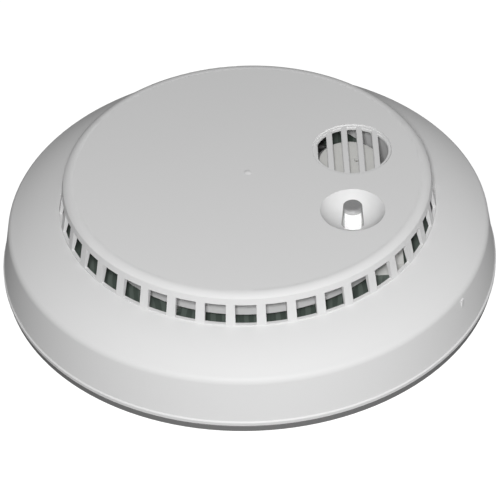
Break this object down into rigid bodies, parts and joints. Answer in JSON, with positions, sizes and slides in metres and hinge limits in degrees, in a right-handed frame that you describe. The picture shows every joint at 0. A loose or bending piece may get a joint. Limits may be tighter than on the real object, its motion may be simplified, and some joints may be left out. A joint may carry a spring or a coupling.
{
  "type": "heat detector",
  "caption": "Round mains heat alarm with windowed white cover, horn grille, clear push button in a fingertip dish and twist-lock mounting plate.",
  "frame": {"origin": "centre of the mounting plate's back face, which is the plane the alarm is fixed to", "axes": "+Z out of the alarm's face; the horn grille and the test button are on the +X side, the button towards -Y"},
  "size_m": [0.142, 0.142, 0.0338],
  "materials": {
    "cover_white": "fine moulded texture",
    "plate_grey": "fine moulded texture",
    "housing_white": "fine moulded texture",
    "clear": "clear polished plastic",
    "spring_metal": "bare strip",
    "steel": "zinc plated",
    "tin": "tinned",
    "lamp_red": "diffused epoxy",
    "battery_black": "lacquered can, plain",
    "black_plastic": "moulded",
    "foam": "closed-cell foam",
    "board_green": "solder mask",
    "cap_pale": "moulded",
    "disc_brass": "bare sheet",
    "ceramic": "silvered ceramic",
    "bead_dark": "epoxy bead",
    "film_yellow": "moulded box",
    "can_sleeve": "shrunk sleeve",
    "varistor_blue": "dipped epoxy",
    "chip_black": "moulded epoxy",
    "ferrite": "ferrite",
    "relay_white": "moulded case",
    "copper": "enamelled wire",
    "label_silver": "plain film"
  },
  "bodies": {
    "bracket": {"mounting_plate": "plate_grey"},
    "alarm": {"front_cover": "cover_white", "rear_housing": "housing_white", "blade_anchor": "spring_metal", "contact_post": "spring_metal", "indicator_lamp": "lamp_red", "cover_screws": "steel", "board_screws": "steel", "battery_case": "battery_black", "battery_snaps": "tin", "snap_contacts": "tin", "contact_carrier": "black_plastic", "battery_pad": "foam", "inlet_socket": "housing_white", "inlet_pins": "tin", "circuit_board": "board_green", "horn_housing": "black_plastic", "horn_cap": "cap_pale", "piezo_disc": "disc_brass", "piezo_element": "ceramic", "horn_contacts": "spring_metal", "thermistor_bead": "bead_dark", "thermistor_leads": "tin", "thermistor_guard": "black_plastic", "film_capacitor": "film_yellow", "storage_capacitors": "can_sleeve", "varistor": "varistor_blue", "rectifier_diodes": "chip_black", "controller_chip": "chip_black", "driver_chip": "chip_black", "boost_coil": "ferrite", "coil_winding": "copper", "transistors": "chip_black", "link_relay": "relay_white", "chip_resistors": "chip_black", "rear_label": "label_silver"},
    "test_button": {"test_button": "clear"},
    "test_contact": {"test_contact_blade": "spring_metal"},
    "battery_lid": {"battery_cover": "housing_white"}
  },
  "joints": [
    {"name": "twist_lock", "type": "hinge", "parent": "bracket", "child": "alarm", "pos_m": [0, 0, 0], "axis": [0, 0, 1], "range_deg": [0, 12]},
    {"name": "test_press", "type": "slide", "parent": "alarm", "child": "test_button", "axis": [0, 0, -1], "range_m": [0, 0.0015], "stiffness_N_per_m": 500, "springref_m": -0.0006},
    {"name": "contact_flex", "type": "hinge", "parent": "alarm", "child": "test_contact", "pos_m": [0.01, -0.0174, 0.02205], "axis": [0, 1, 0], "range_deg": [0, 5.6]},
    {"name": "lid_slide", "type": "slide", "parent": "alarm", "child": "battery_lid", "axis": [1, 0, 0], "range_m": [0, 0.007]}
  ],
  "couplings": [
    {"joint": "contact_flex", "follows": "test_press", "rad_per_m": 64}
  ]
}
